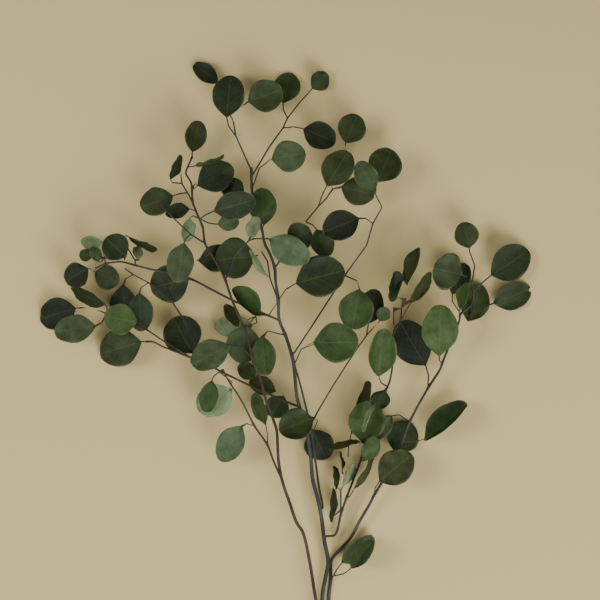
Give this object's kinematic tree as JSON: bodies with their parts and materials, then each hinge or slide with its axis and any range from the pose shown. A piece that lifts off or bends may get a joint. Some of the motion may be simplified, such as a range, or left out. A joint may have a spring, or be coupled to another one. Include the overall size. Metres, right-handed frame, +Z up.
{
  "type": "bunch of dried eucalyptus",
  "caption": "Bunch of dried eucalyptus: slim forked woody stems carrying thin rounded leaves on short stalks, lying flat as cut, with no tie or vase.",
  "frame": {"origin": "bottom centre of the bunch's box, on the surface that it lies on", "axes": "+Y from the cut stem ends to the top of the bunch, +X to the right seen from above, +Z up"},
  "size_m": [0.545, 0.6646, 0.0741],
  "materials": {
    "leaf_dark": "matte",
    "leaf_green": "matte",
    "leaf_pale": "matte",
    "stem_dark": "matte",
    "stem_brown": "matte"
  },
  "bodies": {
    "root": {"stem_main": "stem_dark", "stem_slim": "stem_dark", "stem_left": "stem_brown", "stem_left_fork": "stem_brown", "stem_right": "stem_dark", "stem_right_inner": "stem_brown", "branch_lower_left": "stem_dark", "branch_left": "stem_brown", "sprig_top_left": "leaf_dark", "sprig_top_right": "leaf_green", "leaf_crown": "leaf_green", "sprig_upper_middle": "leaf_green", "sprig_upper_right": "leaf_dark", "sprig_far_right": "leaf_dark", "leaves_right_edge": "leaf_dark", "leaves_right_fork": "leaf_green", "leaf_right_front": "leaf_green", "leaf_right_behind": "leaf_dark", "sprig_right_middle": "leaf_green", "sprig_right_inner": "leaf_pale", "leaves_right_twisted": "leaf_green", "leaf_right_back": "leaf_green", "leaf_right_upright": "leaf_green", "leaf_right_half_moon": "leaf_green", "leaf_right_olive": "leaf_dark", "leaf_right_shaded": "leaf_green", "leaf_right_grey": "leaf_pale", "leaves_low_right": "leaf_pale", "sprig_low_middle": "leaf_pale", "sprig_middle": "leaf_dark", "leaf_middle_front": "leaf_green", "leaf_middle_upper": "leaf_dark", "leaf_middle_folded": "leaf_pale", "leaf_middle_lower": "leaf_dark", "sprig_middle_behind": "leaf_dark", "sprig_front": "leaf_pale", "sprig_inner": "leaf_dark", "leaf_inner_behind": "leaf_dark", "leaves_inner_upper": "leaf_green", "leaf_left_top": "leaf_green", "sprig_left_top": "leaf_dark", "leaf_left_blue": "leaf_dark", "leaves_left_silver": "leaf_pale", "sprig_left_front": "leaf_pale", "leaves_far_left_tip": "leaf_dark", "sprig_far_left_top": "leaf_green", "leaves_left_rolled": "leaf_pale", "leaf_left_large": "leaf_dark", "sprig_left_cross": "leaf_dark", "leaf_left_shaded": "leaf_dark", "sprig_left_upper": "leaf_green", "leaf_left_end": "leaf_dark", "leaves_left_fork_tip": "leaf_pale", "leaf_left_hanging": "leaf_pale", "leaf_left_edge": "leaf_pale", "leaf_left_cover": "leaf_pale", "leaf_left_green": "leaf_green", "leaf_left_folded": "leaf_dark", "sprig_behind_left": "leaf_pale"}
  },
  "joints": []
}
